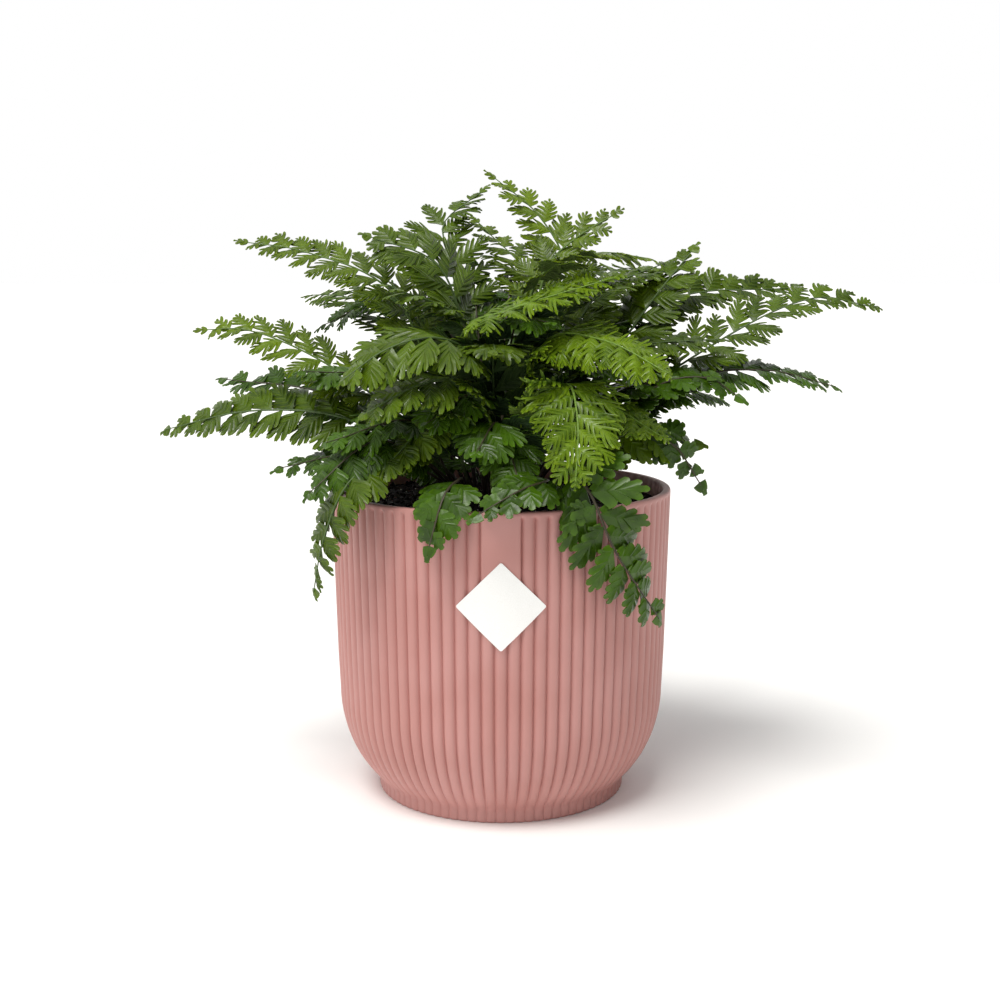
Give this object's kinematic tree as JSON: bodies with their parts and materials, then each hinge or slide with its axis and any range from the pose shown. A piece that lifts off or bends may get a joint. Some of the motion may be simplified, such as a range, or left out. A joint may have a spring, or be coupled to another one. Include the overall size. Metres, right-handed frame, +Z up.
{
  "type": "potted fern",
  "caption": "Bushy potted fern with arching, finely cut fronds in a round ribbed plastic pot with a blank diamond label",
  "frame": {"origin": "centre of the pot's flat underside", "axes": "+Z up along the pot's axis; -Y is the front, where the label and the plain panel are; +X is the viewer's right"},
  "size_m": [0.2923, 0.1982, 0.2582],
  "materials": {
    "pot": "satin",
    "soil": "matte",
    "label": "satin",
    "coil": "matte",
    "frond_young": "satin",
    "frond": "satin",
    "frond_old": "satin"
  },
  "bodies": {
    "root": {"pot": "pot", "soil": "soil", "label": "label", "young_coil": "coil", "frond_left_crest": "frond_young", "frond_left_arch": "frond_young", "frond_left_rear": "frond_old", "frond_left_long": "frond", "frond_left_shade": "frond_old", "frond_left_drape": "frond", "frond_left_back_high": "frond", "frond_left_back_low": "frond_old", "frond_top_left": "frond", "frond_top_spire": "frond_young", "frond_top_right": "frond_young", "frond_top_flat_left": "frond", "frond_top_flat_right": "frond_young", "frond_right_crest": "frond", "frond_right_upper": "frond", "frond_right_long": "frond", "frond_right_low": "frond_old", "frond_right_small": "frond_old", "frond_right_fan": "frond_old", "frond_right_lime": "frond_young", "frond_right_back_high": "frond", "frond_right_back_low": "frond_old", "frond_front_lime": "frond_young", "frond_front_crown": "frond_young", "frond_front_fan": "frond", "frond_front_fan_low": "frond", "frond_front_shade": "frond_old", "frond_front_sweep": "frond_young", "frond_front_high": "frond", "frond_front_low": "frond", "frond_drape_right": "frond_old", "frond_drape_left": "frond_old", "frond_back_high": "frond_young", "frond_back_right": "frond", "frond_back_left": "frond", "frond_back_low_right": "frond_old", "frond_back_low": "frond_old", "frond_back_low_left": "frond_old"}
  },
  "joints": []
}
